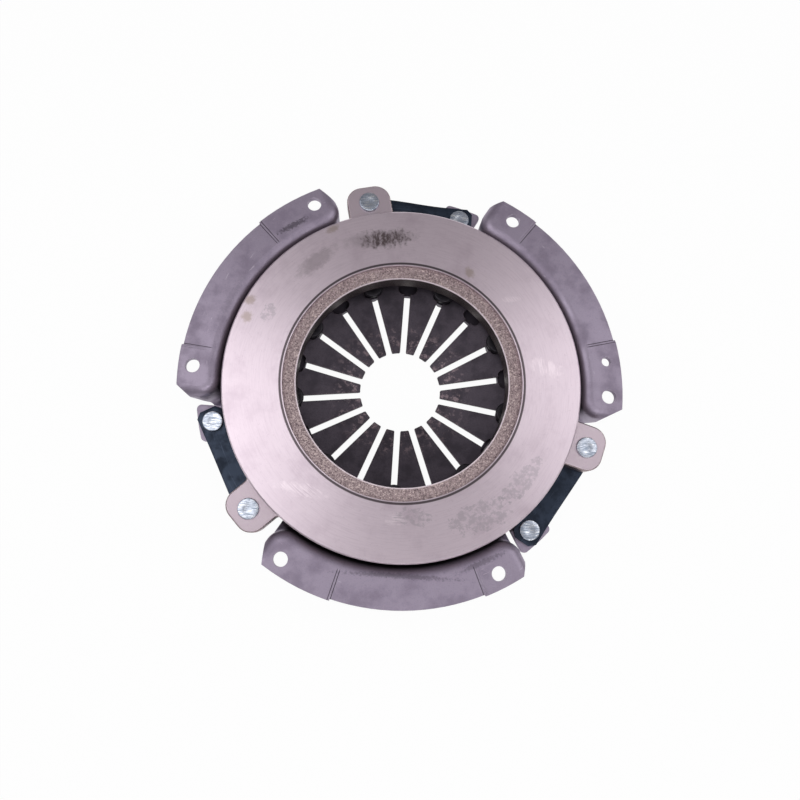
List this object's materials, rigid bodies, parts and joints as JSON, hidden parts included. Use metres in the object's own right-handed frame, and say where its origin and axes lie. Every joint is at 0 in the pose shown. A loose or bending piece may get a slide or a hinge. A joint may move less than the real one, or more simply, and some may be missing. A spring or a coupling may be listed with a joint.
{
  "type": "clutch pressure plate",
  "caption": "Diaphragm-spring clutch cover with a sliding cast pressure plate, sprung drive straps and a lobed bolting flange.",
  "frame": {"origin": "centre of the flywheel bolt circle, on the front of the six bolting pads", "axes": "+Z along the clutch axis towards the flywheel; +X through the first bolt hole of the lobe with the dowel hole"},
  "size_m": [0.2806, 0.2706, 0.0395],
  "materials": {
    "cover_steel": "pressed sheet steel, satin grey with a faint violet cast",
    "plate_iron": "grey iron, face ground and lapped, the rest as cast",
    "spring_steel": "hardened and shot-peened spring steel, dark and dull",
    "wire_steel": "drawn spring wire, dark grey",
    "black_rivet_steel": "black phosphated rivet steel",
    "strap_steel": "blued spring steel strip",
    "zinc_rivet_steel": "zinc-plated rivet steel"
  },
  "bodies": {
    "cover_body": {"cover": "cover_steel", "diaphragm_spring": "spring_steel", "front_fulcrum_ring": "wire_steel", "rear_fulcrum_ring": "wire_steel", "fulcrum_rivet_1": "black_rivet_steel", "fulcrum_rivet_2": "black_rivet_steel", "fulcrum_rivet_3": "black_rivet_steel", "fulcrum_rivet_4": "black_rivet_steel", "fulcrum_rivet_5": "black_rivet_steel", "fulcrum_rivet_6": "black_rivet_steel", "fulcrum_rivet_7": "black_rivet_steel", "fulcrum_rivet_8": "black_rivet_steel", "fulcrum_rivet_9": "black_rivet_steel", "drive_strap_1_leaf_1": "strap_steel", "drive_strap_1_leaf_2": "strap_steel", "drive_strap_1_leaf_3": "strap_steel", "drive_strap_2_leaf_1": "strap_steel", "drive_strap_2_leaf_2": "strap_steel", "drive_strap_2_leaf_3": "strap_steel", "drive_strap_3_leaf_1": "strap_steel", "drive_strap_3_leaf_2": "strap_steel", "drive_strap_3_leaf_3": "strap_steel", "cover_strap_rivet_1": "zinc_rivet_steel", "cover_strap_rivet_2": "zinc_rivet_steel", "cover_strap_rivet_3": "zinc_rivet_steel"},
    "plate_body": {"pressure_plate": "plate_iron", "lug_rivet_1": "zinc_rivet_steel", "lug_rivet_2": "zinc_rivet_steel", "lug_rivet_3": "zinc_rivet_steel"}
  },
  "joints": [
    {"name": "plate_travel", "type": "slide", "parent": "cover_body", "child": "plate_body", "axis": [0, 0, 1], "range_m": [-0.0036, 0], "stiffness_N_per_m": 60000, "springref_m": 0.004, "deforming": ["diaphragm_spring", "drive_strap_1_leaf_1", "drive_strap_1_leaf_2", "drive_strap_1_leaf_3", "drive_strap_2_leaf_1", "drive_strap_2_leaf_2", "drive_strap_2_leaf_3", "drive_strap_3_leaf_1", "drive_strap_3_leaf_2", "drive_strap_3_leaf_3"]}
  ]
}
